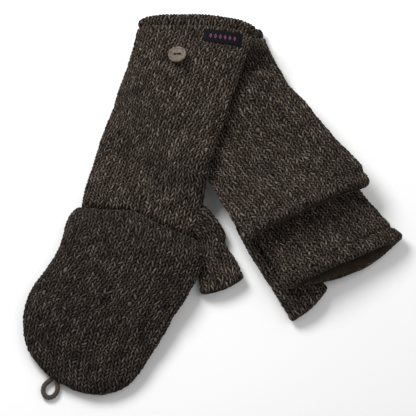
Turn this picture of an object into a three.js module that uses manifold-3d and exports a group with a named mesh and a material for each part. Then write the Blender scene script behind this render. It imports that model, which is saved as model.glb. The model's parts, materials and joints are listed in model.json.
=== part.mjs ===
// Convertible flip-top mittens, a pair. The left one lies on the floor with its cap turned back and
// looped on its button. The right one lies across it with its cap over the fingers.
// Millimetres, +Z up. Each mitten has its own plan frame: u runs from the crease to the fingertips
// and v from the middle to the thumb.
import * as THREE from "three";
import { mergeVertices } from "three/addons/utils/BufferGeometryUtils.js";
import Module from "manifold-3d";

const wasm = await Module();
wasm.setup();

// ---- Driving sizes ----
const GAP = 0.3; // between pieces that touch
const KNIT = 2.8; // wool shell
const FLEECE = 1.6; // lining
const THUMB_KNIT = 2.3;
const THUMB_FLEECE = 1.3;
const WALL = KNIT + GAP + FLEECE;
const THUMB_WALL = THUMB_KNIT + GAP + THUMB_FLEECE;
const HAND_STEP = 14; // longest facet along the hand
const AROUND = 24; // points around a section
const THUMB_AROUND = 16;
const SQUARENESS = 2.7; // 2 is an ellipse, more is boxier
const CUFF_HEM = 7;
const FINGER_HEM = 10;
const CAP_HEM = 6;
const THUMB_HEM = 5;
const HAND_THICK = 14;
const CAP_REST = 1.4; // from the back of the hand to the cap, which leaves room for the seam
const SEAM_THICK = 0.8;
const FLAT_BACK_CAP = 14.2; // thickness of the turned-back cap
const PILE_TOP = HAND_THICK + CAP_REST + FLAT_BACK_CAP + 0.4; // the right mitten rides this high
const BUTTON_RADIUS = 6.7;
const BUTTON_THICK = 2.6;
const BUTTON_HOLE = 1.1;
const BUTTON_HOLE_SPACING = 2.1;
const SHANK_HEIGHT = 3.9;
const THREAD = 0.65;
const LOOP_CORD = 1.5;
const LOOP_HALF_WIDTH = 4.6;
const LOOP_LENGTH = 15;
const LABEL_THICK = 0.7;
const LABEL_WIDTH = 9;

// ---- Materials ----
const wool = new THREE.MeshStandardMaterial({ color: "#4a4038", roughness: 0.95, metalness: 0 });
const hemWool = new THREE.MeshStandardMaterial({ color: "#40372f", roughness: 0.95, metalness: 0 });
const fleece = new THREE.MeshStandardMaterial({ color: "#4b3d31", roughness: 1, metalness: 0 });
const yarn = new THREE.MeshStandardMaterial({ color: "#352c25", roughness: 0.95, metalness: 0 });
const horn = new THREE.MeshStandardMaterial({ color: "#7c6e5d", roughness: 0.45, metalness: 0 });
const woven = new THREE.MeshStandardMaterial({ color: "#14121a", roughness: 0.7, metalness: 0 });
const cotton = new THREE.MeshStandardMaterial({ color: "#a08b70", roughness: 0.9, metalness: 0 });

// ---- The lie of each mitten ----
// A row is a section: its plain-side edge (u, v, z of the underside), its thumb-side edge (u, v, z),
// its thickness and how far its upper edge stands ahead of its lower one.
const TUBE_LOW = 5.2; // the fingers' tube clears the cap's palm wall by this much
const CAP_THICK = TUBE_LOW + HAND_THICK + CAP_REST + WALL; // a cap with the tube inside

const right = {
  side: "right",
  origin: [-52.5, -12],
  heading: [-0.309, -0.951],
  thumbSign: 1,
  hand: [
    [-139, -43, 0, -158, 36.5, 0, HAND_THICK, 0],
    [-112, -41.5, 0, -131, 37.5, 0, HAND_THICK, 0],
    [-80, -43.5, 0, -96, 37, 0, HAND_THICK, 0],
    [-50, -45, 0, -62, 37.5, 0, HAND_THICK, 0],
    [-26, -44.5, 0, -34, 39.5, 0, HAND_THICK + 1, 0],
    [-6, -42, TUBE_LOW, -8, 40.5, TUBE_LOW, HAND_THICK, 0],
    [12, -40.5, TUBE_LOW, 12, 40, TUBE_LOW, HAND_THICK, 0],
    [44, -38.5, TUBE_LOW, 44, 38.5, TUBE_LOW, HAND_THICK, 0],
  ],
  cap: [
    [0, -47.5, 0, 0, 47, 0, CAP_THICK, 0],
    [12, -49, 0, 12, 52.5, 0, CAP_THICK, 0],
    [34, -48.5, 0, 34, 52, 0, CAP_THICK, 0],
    [52, -51, 0, 52, 47.5, 0, CAP_THICK, 0],
    [74, -57.5, 0, 74, 43, 0, CAP_THICK - 1, 0],
    [94, -55, 0, 94, 38, 0, CAP_THICK - 3, 0],
    [110, -46.5, 0, 110, 33, 0, CAP_THICK - 6, 0],
    [120, -33.5, 0, 120, 25, 0, CAP_THICK - 9, 0],
    [127.5, -18, 0, 127.5, 11, 0, CAP_THICK - 12.5, 0],
  ],
  thumb: [
    [-3.5, 33, 0.2, -28, 33, 0.2, 12.2, 0],
    [-3, 46, 0.2, -22, 48, 0.2, 12.2, 0],
    [6, 54, 0.2, -9.5, 61.5, 0.2, 12.2, 0],
    [20, 57, 0.2, 2, 73.5, 0.2, 12.4, 0],
    [34, 62, 0.2, 13.5, 84.5, 0.2, 13, 0],
  ],
  hinge: 6,
  button: [-117, -8],
  loop: { root: [128.2, -20], low: 1.6, heading: [0.995, -0.1] },
};

const left = {
  side: "left",
  origin: [62.9, -0.4],
  heading: [0.515, -0.857],
  thumbSign: -1,
  hand: [
    [-128.5, -45, 0, -138, 36.5, 0, HAND_THICK, 0],
    [-95, -42, 0, -104, 37, 0, HAND_THICK, 0],
    [-62, -41.5, 0, -68, 37.5, 0, HAND_THICK, 0],
    [-32, -42, 0, -38, 39, 2, HAND_THICK, 0],
    [-10, -43, 0, -14, 40, 8.5, HAND_THICK, 0],
    [8, -44, 0, 4, 39.5, 12.6, HAND_THICK, 0],
    [30, -47, 0.5, 24, 38, 13.2, HAND_THICK + 1, 0],
    [59, -51.5, 1.5, 49.5, 38, 13.4, HAND_THICK + 3.4, -3],
  ],
  cap: [
    [13.5, -48.5, 0.8, 5, 46, 14.4, FLAT_BACK_CAP + 2, 0],
    [2, -52.5, 0, -6, 48, 13.4, FLAT_BACK_CAP + 2, 0],
    [-22, -48, 0, -28, 47.5, 7, FLAT_BACK_CAP + 1, 0],
    [-45, -44, 0, -49, 46.5, 1.8, FLAT_BACK_CAP, 0],
    [-66, -41, 0, -68, 44.5, 0, FLAT_BACK_CAP, 0],
    [-83, -36, 0, -84, 37.5, 0, FLAT_BACK_CAP, 0],
    [-96, -27, 0, -96, 27, 0, FLAT_BACK_CAP - 0.4, 0],
    [-104, -14, 0, -104, 14, 0, FLAT_BACK_CAP - 1.4, 0],
  ],
  thumb: [
    [-12, 24, 0, -34, 38, 0, 12, 0],
    [4, 20, 0, -12, 44.5, 0, 11.9, 0],
    [19, 17, 0, 11, 47.2, 0, 11.9, 0],
    [40, 14.5, 0, 38, 47.2, 0, 11.9, 0],
    [61, 13.5, 0, 68.5, 45.5, 0, 12.6, 0],
  ],
  hinge: 4,
  button: [-112, -2],
  loop: { root: [-105.6, -2], low: HAND_THICK + 0.35, heading: [-1, 0] },
};

// ---- Plan frames ----
function toFrame(mitten, u, v, z) {
  const [ox, oy] = mitten.origin;
  const [hx, hy] = mitten.heading;
  const s = mitten.thumbSign;
  return new THREE.Vector3(ox + u * hx - v * s * hy, oy + u * hy + v * s * hx, z);
}

function smoothStep(from, to, value) {
  const t = Math.min(Math.max((value - from) / (to - from), 0), 1);
  return t * t * (3 - 2 * t);
}

// The right mitten climbs from the floor onto the left one: across the left one's thumb-side edge,
// and along its own length above the crease.
const EDGE_POINT = new THREE.Vector2(-1, 12);
const EDGE_INWARD = new THREE.Vector2(0.895, 0.445);
function climb(mitten, point) {
  if (mitten === left) return 0;
  const inward = new THREE.Vector2(point.x, point.y).sub(EDGE_POINT).dot(EDGE_INWARD);
  return GAP + PILE_TOP * smoothStep(-48, 2, inward) * smoothStep(-18, 32, point.y);
}

// ---- Lofts ----
// Smooth rows at distance s along the middle line: a cubic through the rows.
function makeLoft(mitten, rows, around) {
  const middle = rows.map((r) => new THREE.Vector2((r[0] + r[3]) / 2, (r[1] + r[4]) / 2));
  const knots = [0];
  for (let i = 1; i < rows.length; i++) knots.push(knots[i - 1] + middle[i].distanceTo(middle[i - 1]));
  return { mitten, rows, knots, around, length: knots[knots.length - 1] };
}

function rowAt(loft, s) {
  const { rows, knots } = loft;
  let i = 0;
  while (i < rows.length - 2 && s > knots[i + 1]) i++;
  const span = knots[i + 1] - knots[i];
  const t = (s - knots[i]) / span;
  const slope = (k, c) => {
    const a = Math.max(k - 1, 0);
    const b = Math.min(k + 1, rows.length - 1);
    return (rows[b][c] - rows[a][c]) / (knots[b] - knots[a]);
  };
  return rows[i].map((value, c) => {
    const rise = rows[i + 1][c] - value;
    const m0 = slope(i, c) * span;
    const m1 = slope(i + 1, c) * span;
    return value + m0 * t + (3 * rise - 2 * m0 - m1) * t * t + (m0 + m1 - 2 * rise) * t * t * t;
  });
}

const power = (x) => Math.sign(x) * Math.abs(x) ** (2 / SQUARENESS);

// One point of a section: angle 0 is the thumb side, a quarter turn is the top, and inset moves it
// inwards. The climb is taken on the outer surface, so that nested surfaces rise together.
function sectionPoint(loft, s, angle, inset) {
  const [pu, pv, pz, tu, tv, tz, thick, lean] = rowAt(loft, s);
  const half = Math.hypot(tu - pu, tv - pv) / 2;
  const across = power(Math.cos(angle));
  const up = power(Math.sin(angle));
  const [plainLow, thumbLow] = [Math.max(pz, 0), Math.max(tz, 0)];
  const at = (part, height) => {
    const u = (pu + tu) / 2 + (part * (tu - pu)) / 2 + (lean * height) / thick;
    const v = (pv + tv) / 2 + (part * (tv - pv)) / 2;
    const z = (plainLow + thumbLow) / 2 + (part * (thumbLow - plainLow)) / 2 + thick / 2 + height;
    return toFrame(loft.mitten, u, v, z);
  };
  const point = at(across * (1 - inset / half), up * (thick / 2 - inset));
  point.z += climb(loft.mitten, at(across, (up * thick) / 2));
  return point;
}

function section(loft, s, inset) {
  const points = [];
  for (let i = 0; i < loft.around; i++) {
    points.push(sectionPoint(loft, s, ((i + 0.5) / loft.around) * 2 * Math.PI, inset));
  }
  return points;
}

function signedVolume(position, index) {
  const [a, b, c] = [new THREE.Vector3(), new THREE.Vector3(), new THREE.Vector3()];
  let total = 0;
  for (let i = 0; i < index.length; i += 3) {
    a.fromBufferAttribute(position, index[i]);
    b.fromBufferAttribute(position, index[i + 1]);
    c.fromBufferAttribute(position, index[i + 2]);
    total += a.dot(b.cross(c)) / 6;
  }
  return total;
}

function outwardGeometry(points, index) {
  const geometry = new THREE.BufferGeometry().setFromPoints(points);
  if (signedVolume(geometry.attributes.position, index) < 0) index.reverse();
  geometry.setIndex(index);
  return geometry;
}

// A skin over rings of equal count. A wrapped skin joins its last ring to its first, and any other
// is closed by rungs across each end. Rings from backFrom up to backTo run back along the loft: their
// faces split along the other diagonal, so that nested skins have the same facets.
function skin(rings, wrapped, backFrom = 0, backTo = 0) {
  const count = rings[0].length;
  const points = rings.flat();
  const index = [];
  const pairs = wrapped ? rings.length : rings.length - 1;
  for (let r = 0; r < pairs; r++) {
    const next = (r + 1) % rings.length;
    for (let i = 0; i < count; i++) {
      const j = (i + 1) % count;
      const [a, b, c, d] = [r * count + i, r * count + j, next * count + j, next * count + i];
      const runsBack = r >= backFrom && r < backTo;
      index.push(...(runsBack ? [a, b, d, b, c, d] : [a, b, c, a, c, d]));
    }
  }
  if (!wrapped) {
    const last = (rings.length - 1) * count;
    for (let i = 0; i < count / 2 - 1; i++) {
      const [a, b, c, d] = [i, i + 1, count - 2 - i, count - 1 - i];
      index.push(b, a, c, a, d, c);
      index.push(last + a, last + b, last + c, last + a, last + c, last + d);
    }
  }
  return outwardGeometry(points, index);
}

// Distances from start to end that no step exceeds.
function steps(start, end, longest) {
  const n = Math.max(1, Math.ceil((end - start) / longest));
  return Array.from({ length: n + 1 }, (_, i) => start + ((end - start) * i) / n);
}

// A sleeve between two insets of a loft, open at both ends.
function sleeve(loft, start, end, outer, inner, longest) {
  const at = steps(start, end, longest);
  const out = at.map((s) => section(loft, s, outer));
  const back = at.map((s) => section(loft, s, inner)).reverse();
  return skin([...out, ...back], true, out.length, 2 * out.length);
}

// A pocket: the far end of the loft is shut, and an inset surface stops short of it by its inset.
function pocketRings(loft, start, inset, longest) {
  const end = loft.length;
  const stretch = (end - inset - start) / (end - start);
  return steps(start, end, longest).map((s) => {
    const shift = (s - start) * (1 - stretch);
    const [fromRow, toRow] = [rowAt(loft, s), rowAt(loft, Math.max(s - shift, 0))];
    const du = (toRow[0] + toRow[3] - fromRow[0] - fromRow[3]) / 2;
    const moved = { ...loft, rows: [shifted(fromRow, du), shifted(fromRow, du)], knots: [0, 1] };
    return section(moved, 0, inset);
  });
}

function shifted(row, du) {
  const out = [...row];
  out[0] += du;
  out[3] += du;
  return out;
}

function pocket(loft, start, outer, inner, longest) {
  const out = pocketRings(loft, start, outer, longest).reverse();
  return skin([...out, ...pocketRings(loft, start, inner, longest)], false, 0, out.length);
}

// A full solid out to an inset, used as a cutter.
function plug(loft, at, inset) {
  return skin(at.map((s) => section(loft, s, inset)), false);
}

// A strip of the loft's surface between two angles and two heights above it.
function strip(loft, start, end, angles, low, high, longest) {
  const at = steps(start, end, longest);
  const layer = (height) => at.map((s) => angles.map((a) => sectionPoint(loft, s, a, -height)));
  const rings = at.map((_, i) => [...layer(high)[i], ...layer(low)[i].reverse()]);
  return skin(rings, false);
}

// ---- Booleans ----
function toSolid(geometry) {
  const bare = geometry.clone();
  bare.deleteAttribute("normal");
  bare.deleteAttribute("uv");
  const merged = mergeVertices(bare, 1e-4);
  return new wasm.Manifold(
    new wasm.Mesh({
      numProp: 3,
      vertProperties: new Float32Array(merged.attributes.position.array),
      triVerts: new Uint32Array(merged.index.array),
    }),
  );
}

function toGeometry(solid) {
  const mesh = solid.getMesh();
  const geometry = new THREE.BufferGeometry();
  geometry.setAttribute("position", new THREE.BufferAttribute(new Float32Array(mesh.vertProperties), 3));
  geometry.setIndex(Array.from(mesh.triVerts));
  return geometry;
}

// ---- Assembly ----
const mittens = new THREE.Group();

function addPiece(name, geometry, material) {
  geometry.computeVertexNormals();
  const mesh = new THREE.Mesh(geometry, material);
  mesh.name = name;
  mittens.add(mesh);
  return mesh;
}

function biggest(solid) {
  const parts = solid.decompose();
  return parts.reduce((best, part) => (part.volume() > best.volume() ? part : best));
}

// ---- Hand: shell, lining and hems, with the thumb let into its side ----
function addHand(mitten, loft, thumbLoft) {
  const { side } = mitten;
  const tubeEnd = loft.length - FINGER_HEM - GAP;
  const cuffEnd = CUFF_HEM + GAP;
  const thumbHole = toSolid(plug(thumbLoft, steps(0, thumbLoft.length, 9), THUMB_WALL));
  const shell = toSolid(sleeve(loft, cuffEnd, tubeEnd, 0, KNIT, HAND_STEP)).subtract(thumbHole);
  const lining = toSolid(sleeve(loft, cuffEnd, tubeEnd, KNIT + GAP, WALL, HAND_STEP)).subtract(thumbHole);
  addPiece(`${side}_hand_shell`, toGeometry(biggest(shell)), wool);
  addPiece(`${side}_hand_lining`, toGeometry(biggest(lining)), fleece);
  addPiece(`${side}_cuff_hem`, sleeve(loft, 0, CUFF_HEM, 0, WALL, CUFF_HEM), hemWool);
  addPiece(`${side}_finger_hem`, sleeve(loft, loft.length - FINGER_HEM, loft.length, 0, WALL, 5), hemWool);
}

// ---- Thumb: a lined tube that starts at the hand's side ----
function addThumb(mitten, loft, handLoft) {
  const { side } = mitten;
  const tubeEnd = loft.length - THUMB_HEM - GAP;
  const handTube = steps(CUFF_HEM + GAP, handLoft.length - FINGER_HEM - GAP, HAND_STEP);
  const hand = toSolid(plug(handLoft, handTube, -GAP));
  const shell = toSolid(sleeve(loft, 0, tubeEnd, 0, THUMB_KNIT, 9)).subtract(hand);
  const lining = toSolid(sleeve(loft, 0, tubeEnd, THUMB_KNIT + GAP, THUMB_WALL, 9)).subtract(hand);
  addPiece(`${side}_thumb_sleeve`, toGeometry(biggest(shell)), wool);
  addPiece(`${side}_thumb_lining`, toGeometry(biggest(lining)), fleece);
  addPiece(
    `${side}_thumb_hem`,
    sleeve(loft, loft.length - THUMB_HEM, loft.length, 0, THUMB_WALL, THUMB_HEM),
    hemWool,
  );
}

// ---- Cap: a lined pocket with a hemmed mouth ----
function addCap(mitten, loft) {
  const { side } = mitten;
  const start = CAP_HEM + GAP;
  addPiece(`${side}_cap_shell`, pocket(loft, start, 0, KNIT, 14), wool);
  addPiece(`${side}_cap_lining`, pocket(loft, start, KNIT + GAP, WALL, 14), fleece);
  addPiece(`${side}_cap_hem`, sleeve(loft, 0, CAP_HEM, 0, WALL, CAP_HEM), hemWool);
}

// ---- Seam: the row of stitches that holds the cap to the back of the hand ----
function addSeam(mitten, handLoft) {
  const middle = handLoft.rows.map((row) => (row[0] + row[3]) / 2);
  const crease = middle.findIndex((u) => u > mitten.hinge);
  const reach = (mitten.hinge - middle[crease - 1]) / (middle[crease] - middle[crease - 1]);
  const s = handLoft.knots[crease - 1] * (1 - reach) + handLoft.knots[crease] * reach;
  const angles = Array.from({ length: 9 }, (_, i) => ((40 + i * 12.5) / 180) * Math.PI);
  const low = 0.2;
  const geometry = strip(handLoft, s - 2, s + 2, angles, low, low + SEAM_THICK, 4);
  addPiece(`${mitten.side}_cap_seam`, geometry, yarn);
}

// ---- Button on its thread shank ----
const buttonProfile = [
  [0, 0],
  [BUTTON_RADIUS - 0.9, 0],
  [BUTTON_RADIUS, 0.9],
  [BUTTON_RADIUS, BUTTON_THICK - 0.7],
  [BUTTON_RADIUS - 0.8, BUTTON_THICK],
  [BUTTON_RADIUS - 1.8, BUTTON_THICK],
  [BUTTON_RADIUS - 2.8, BUTTON_THICK - 0.7],
  [0, BUTTON_THICK - 0.7],
].map(([r, z]) => new THREE.Vector2(r, z));

function buttonGeometry() {
  const disc = new THREE.LatheGeometry(buttonProfile, 20);
  disc.rotateX(Math.PI / 2);
  disc.deleteAttribute("normal");
  let solid = toSolid(disc);
  for (const x of [-BUTTON_HOLE_SPACING, BUTTON_HOLE_SPACING]) {
    const hole = new THREE.CylinderGeometry(BUTTON_HOLE, BUTTON_HOLE, 4 * BUTTON_THICK, 8);
    hole.rotateX(Math.PI / 2);
    hole.translate(x, 0, BUTTON_THICK / 2);
    solid = solid.subtract(toSolid(hole));
  }
  return toGeometry(solid);
}

// The thread goes up through one hole and down the other, and is wound into a shank below.
function threadGeometry() {
  const x = BUTTON_HOLE_SPACING;
  const top = BUTTON_THICK + 0.15;
  const low = -1.1;
  const corners = [
    [-x, low],
    [-x, top],
    [x, top],
    [x, low],
  ].map(([a, b]) => new THREE.Vector3(a, 0, b));
  const curve = new THREE.CatmullRomCurve3(corners, true, "catmullrom", 0.02);
  const round = new THREE.Shape().absarc(0, 0, THREAD, 0, 2 * Math.PI);
  const strand = new THREE.ExtrudeGeometry(round, { steps: 20, extrudePath: curve, curveSegments: 3 });
  const shank = new THREE.CylinderGeometry(1.3, 1.3, SHANK_HEIGHT - 1, 10);
  shank.rotateX(Math.PI / 2);
  shank.translate(0, 0, -SHANK_HEIGHT / 2 - 0.2);
  return toGeometry(toSolid(strand).add(toSolid(shank)));
}

function addButton(mitten) {
  const [u, v] = mitten.button;
  const at = toFrame(mitten, u, v, HAND_THICK + SHANK_HEIGHT);
  at.z += climb(mitten, at);
  for (const [name, geometry, material] of [
    ["button", buttonGeometry(), horn],
    ["button_thread", threadGeometry(), cotton],
  ]) {
    const mesh = addPiece(`${mitten.side}_${name}`, geometry, material);
    mesh.position.copy(at);
    mesh.rotation.z = Math.atan2(mitten.heading[1], mitten.heading[0]) + Math.PI / 2;
  }
}

// ---- Loop at the tip of the cap ----
function addLoop(mitten) {
  const { root, low, heading } = mitten.loop;
  const [hu, hv] = heading;
  const at = (along, across) => {
    const u = root[0] + along * hu - across * hv;
    const v = root[1] + along * hv + across * hu;
    return toFrame(mitten, u, v, low + LOOP_CORD);
  };
  const outline = [
    [0, -1.9],
    [4, -3.6],
    [8.5, -LOOP_HALF_WIDTH],
    [12.5, -3.2],
    [LOOP_LENGTH - LOOP_CORD, 0],
    [12.5, 3.2],
    [8.5, LOOP_HALF_WIDTH],
    [4, 3.6],
    [0, 1.9],
  ];
  const path = new THREE.CatmullRomCurve3(outline.map(([along, across]) => at(along, across)));
  const round = new THREE.Shape().absarc(0, 0, LOOP_CORD, 0, 2 * Math.PI);
  const tube = new THREE.ExtrudeGeometry(round, { steps: 22, extrudePath: path, curveSegments: 4 });
  addPiece(`${mitten.side}_button_loop`, tube, yarn);
}

// ---- Label sewn on the right cuff ----
function addLabel(mitten, handLoft) {
  const angles = [84, 77, 68, 58, 47, 37].map((a) => (a / 180) * Math.PI);
  const start = CUFF_HEM + 2;
  const geometry = strip(handLoft, start, start + LABEL_WIDTH, angles, 0.2, 0.2 + LABEL_THICK, 9);
  addPiece(`${mitten.side}_label`, geometry, woven);
}

for (const mitten of [left, right]) {
  const handLoft = makeLoft(mitten, mitten.hand, AROUND);
  const thumbLoft = makeLoft(mitten, mitten.thumb, THUMB_AROUND);
  const lift = mitten === left ? HAND_THICK + CAP_REST : 0;
  const capRows = mitten.cap.map((row) => row.map((value, i) => (i === 2 || i === 5 ? value + lift : value)));
  const capLoft = makeLoft(mitten, capRows, AROUND);
  addHand(mitten, handLoft, thumbLoft);
  addThumb(mitten, thumbLoft, handLoft);
  addCap(mitten, capLoft);
  addSeam(mitten, handLoft);
  addButton(mitten);
  addLoop(mitten);
  if (mitten === right) addLabel(mitten, handLoft);
}

// The frame: the middle of the box in plan, with the lowest face at z 0.
const box = new THREE.Box3().setFromObject(mittens);
const middle = box.getCenter(new THREE.Vector3());
mittens.position.set(-middle.x, -middle.y, -box.min.z);

export default mittens;
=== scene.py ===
"""The convertible flip-top mittens, dressed over their CAD frame: knitted wool, fleece, buttons and cords.

Each mitten has the plan frame that the CAD gives it, in millimetres: u runs from the crease to the
fingertips, v from the middle to the thumb, and z up. A row is a section of a soft tube."""
import json
import math

import bpy
import numpy as np
from mathutils import Matrix, Vector
from mathutils.bvhtree import BVHTree


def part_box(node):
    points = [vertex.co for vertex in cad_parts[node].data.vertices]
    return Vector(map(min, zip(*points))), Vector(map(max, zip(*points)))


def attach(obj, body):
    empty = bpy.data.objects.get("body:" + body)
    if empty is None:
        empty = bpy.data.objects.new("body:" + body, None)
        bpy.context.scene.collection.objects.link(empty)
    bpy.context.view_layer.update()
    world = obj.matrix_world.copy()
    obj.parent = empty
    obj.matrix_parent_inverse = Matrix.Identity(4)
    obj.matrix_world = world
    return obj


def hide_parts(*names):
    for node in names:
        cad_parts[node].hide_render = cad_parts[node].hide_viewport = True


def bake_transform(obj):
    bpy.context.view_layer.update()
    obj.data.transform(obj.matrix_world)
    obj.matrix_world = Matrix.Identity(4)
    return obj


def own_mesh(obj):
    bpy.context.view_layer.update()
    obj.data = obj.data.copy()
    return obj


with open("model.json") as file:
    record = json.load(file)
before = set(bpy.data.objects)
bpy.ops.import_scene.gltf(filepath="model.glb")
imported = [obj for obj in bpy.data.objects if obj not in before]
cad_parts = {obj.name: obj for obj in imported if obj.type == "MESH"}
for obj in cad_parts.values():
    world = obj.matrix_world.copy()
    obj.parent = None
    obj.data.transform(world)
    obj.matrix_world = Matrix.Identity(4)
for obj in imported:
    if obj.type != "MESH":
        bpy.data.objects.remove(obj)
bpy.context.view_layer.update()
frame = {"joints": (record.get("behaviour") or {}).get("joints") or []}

# ---- Driving sizes, in millimetres as in the CAD source ----
MM = 0.001
KNIT = 2.8
GAP = 0.3
FLEECE = 1.6
WALL = KNIT + GAP + FLEECE
THUMB_KNIT = 2.3
THUMB_WALL = THUMB_KNIT + GAP + 1.3
CUFF_HEM = 7.0
FINGER_HEM = 10.0
CAP_HEM = 6.0
THUMB_HEM = 5.0
HAND_THICK = 14.0
CAP_REST = 1.4
FLAT_BACK_CAP = 14.2
PILE_TOP = HAND_THICK + CAP_REST + FLAT_BACK_CAP + 0.4
TUBE_LOW = 5.2
CAP_THICK = TUBE_LOW + HAND_THICK + CAP_REST + WALL
SHANK_HEIGHT = 3.9

COLUMN = 4.9  # a knitted stitch's width
ROW = 3.05  # and its height
LEG_SHEAR = 2.3  # rows that a stitch's leg climbs in a column's width
STITCH_RISE = 1.05
HEM_PROUD = 0.3  # how far a hem stands out past the knit
THUMB_HEM_PROUD = 0.2
GRID = 0.5  # mesh step on the knit
SQUARENESS = 2.5  # 2 makes a section an ellipse, and more makes it squarer
EVEN = 9.0  # a bow's spread that leaves it even across the section

rng = np.random.default_rng(7)

# Rows are (u, v, z) of the plain edge, the same of the thumb's edge, and the thickness. A bow is how far
# a mouth's middle stands past its ends. A dent is (u, v, z), its radius, and how far it moves the cloth.
RIGHT = {
    "side": "right",
    "origin": (-52.5, -12.0),
    "heading": (-0.309, -0.951),
    "thumb_sign": 1,
    "cuff_bow": -3.2,
    "cap_bow": (-6.0, -0.12, 0.45),
    "lip": 0.0,
    "crease": {"plain": (4.0, -45.5), "thumb": (0.0, 45.0), "before": 1.6, "width": 2.3, "depth": 3.4},
    "cap_folds": ((1.5, 3.0, 0.8),),
    "hand": [
        (-138.2, -42.5, 0, -158.5, 37.5, 0, HAND_THICK),
        (-112, -41.5, 0, -131, 37.5, 0, HAND_THICK),
        (-80, -43.5, 0, -96, 37, 0, HAND_THICK),
        (-50, -45, 0, -62, 37.5, 0, HAND_THICK),
        (-26, -44.5, 0, -34, 39.5, 0, HAND_THICK + 1),
        (-6, -43, TUBE_LOW, -8, 40.5, TUBE_LOW, HAND_THICK),
        (12, -40.5, TUBE_LOW, 12, 40, TUBE_LOW, HAND_THICK),
        (44, -38.5, TUBE_LOW, 44, 38.5, TUBE_LOW, HAND_THICK),
    ],
    "cap": [
        (4, -45.5, 0, 0, 45, 0, CAP_THICK - 1.2),
        (14, -48.2, 0, 12, 53, 0, CAP_THICK + 2.0),
        (34, -46.8, 0, 34, 51.3, 0, CAP_THICK),
        (52, -50.6, 0, 52, 46.6, 0, CAP_THICK - 1.2),
        (74, -57.2, 0, 74, 41.4, 0, CAP_THICK - 5),
        (94, -54.5, 0, 94, 36.7, 0, CAP_THICK - 9),
        (109.5, -45.3, 0, 109.5, 31.3, 0, CAP_THICK - 12.2),
        (118.5, -33.3, 0, 118.5, 24, 0, CAP_THICK - 14.3),
        (124.6, -19.5, 0, 124.6, 13.5, 0, CAP_THICK - 16.3),
        (126.8, -6, 0, 126.8, 2.5, 0, 5),
    ],
    "thumb": [
        (-3.5, 33, 0.2, -28, 33, 0.2, 12.2),
        (-3, 44, 0.2, -22, 47.5, 0.2, 12.6),
        (5, 49.6, 0.2, -12.5, 61, 0.2, 13),
        (13, 51.6, 0.2, -4, 64.2, 0.2, 12),
        (22, 54.2, 0.2, 3.4, 73.3, 0.2, 12),
        (34.5, 60, 0.2, 14.5, 84.8, 0.2, 13.4),
    ],
    "button": (-117, -8),
    "hinge": 6,
    "loop": {"root": (125.6, -20.9), "low": 1.6, "heading": (0.995, -0.1)},
    "dents": [
        ((-70, -47, 22), 8, (0, 5.2, 0)),
        ((-70, -30, 36), 9, (0, 0, -1.6)),
        ((0, 51, 13), 5.5, (0, 0, -6)),
    ],
}
LEFT = {
    "side": "left",
    "origin": (62.9, -0.4),
    "heading": (0.515, -0.857),
    "thumb_sign": -1,
    "cuff_bow": -3.0,
    "cap_bow": (-3.5, 0.0, 9.0),
    "lip": 8.0,
    "crease": None,
    "cap_folds": ((3.5, 3.4, -1.6), (10.5, 2.6, 1.2)),
    "hand": [
        (-129.5, -46.6, 0, -138, 36.5, 0, HAND_THICK),
        (-95, -42, 0, -104, 37, 0, HAND_THICK),
        (-62, -41.5, 0, -68, 37.5, 0, HAND_THICK),
        (-32, -42, 0, -38, 39, 2, HAND_THICK),
        (-10, -43, 0, -14, 40, 8.5, HAND_THICK),
        (8, -44, 0, 4, 39.5, 12.6, HAND_THICK),
        (30, -47, 0.5, 24, 38, 13.2, HAND_THICK + 1),
        (58.6, -51.3, 1.5, 47.5, 40, 13.4, HAND_THICK + 3.4),
    ],
    "cap": [
        (14.5, -47.5, 0.8, 7, 46.5, 14.4, FLAT_BACK_CAP + 2),
        (2, -51.2, 0, -6, 48.5, 13.4, FLAT_BACK_CAP + 3),
        (-22, -46.6, 0, -28, 47.5, 7, FLAT_BACK_CAP + 1.5),
        (-45, -44, 0, -49, 46.5, 1.8, FLAT_BACK_CAP),
        (-66, -41, 0, -68, 44.5, 0, FLAT_BACK_CAP),
        (-83, -36, 0, -84, 37.5, 0, FLAT_BACK_CAP),
        (-95, -29, 0, -95, 29, 0, FLAT_BACK_CAP - 1.4),
        (-103, -16, 0, -103, 17, 0, FLAT_BACK_CAP - 4.4),
        (-106, -4, 0, -106, 4, 0, 4.5),
    ],
    "thumb": [
        (-12, 24, 0, -34, 38, 0, 12),
        (4, 20, 0, -12, 44.5, 0, 11.9),
        (19, 17, 0, 11, 46.3, 0, 11.9),
        (40, 14.5, 0, 38, 46.2, 0, 11.9),
        (61.5, 13.5, 0, 68, 46.6, 0, 12.8),
    ],
    "button": (-112, -2),
    "hinge": 4,
    "loop": {"root": (-105.6, -2), "low": HAND_THICK + 0.35, "heading": (-1, 0)},
    "dents": [((-6, 44, 22), 9, (0, -2, -1.2)), ((20, 38, 28), 6, (0, -1.5, -2.6))],
}


# ---- Plan frames ----
def to_frame(mitten, u, v, z):
    """Plan coordinates to the row frame before its shift, in millimetres."""
    (ox, oy), (hx, hy), sign = mitten["origin"], mitten["heading"], mitten["thumb_sign"]
    return np.stack([ox + u * hx - v * sign * hy, oy + u * hy + v * sign * hx, z + 0 * u], -1)


def find_shift():
    """From these coordinates to the row frame: where the CAD's left button is against its plan place."""
    low, high = (np.array(corner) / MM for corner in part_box("left_button"))
    u, v = (np.float64(x) for x in LEFT["button"])
    at = to_frame(LEFT, u, v, np.float64(HAND_THICK + SHANK_HEIGHT))
    return np.array([*((low + high) / 2 - at)[:2], low[2] - at[2]])


SHIFT = find_shift()


def smooth_step(start, end, x):
    t = np.clip((x - start) / (end - start), 0, 1)
    return t * t * (3 - 2 * t)


CLIMB_MARK = (-1.0, 12.0)  # in plan, close to the slope's upper edge
CLIMB_HEADING = (0.895, 0.445)
CLIMB_RUN = (-48.0, 2.0)  # where the slope starts and ends, from the mark along its heading
CLIMB_START = (-18.0, 32.0)  # and the y between which it comes in


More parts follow.
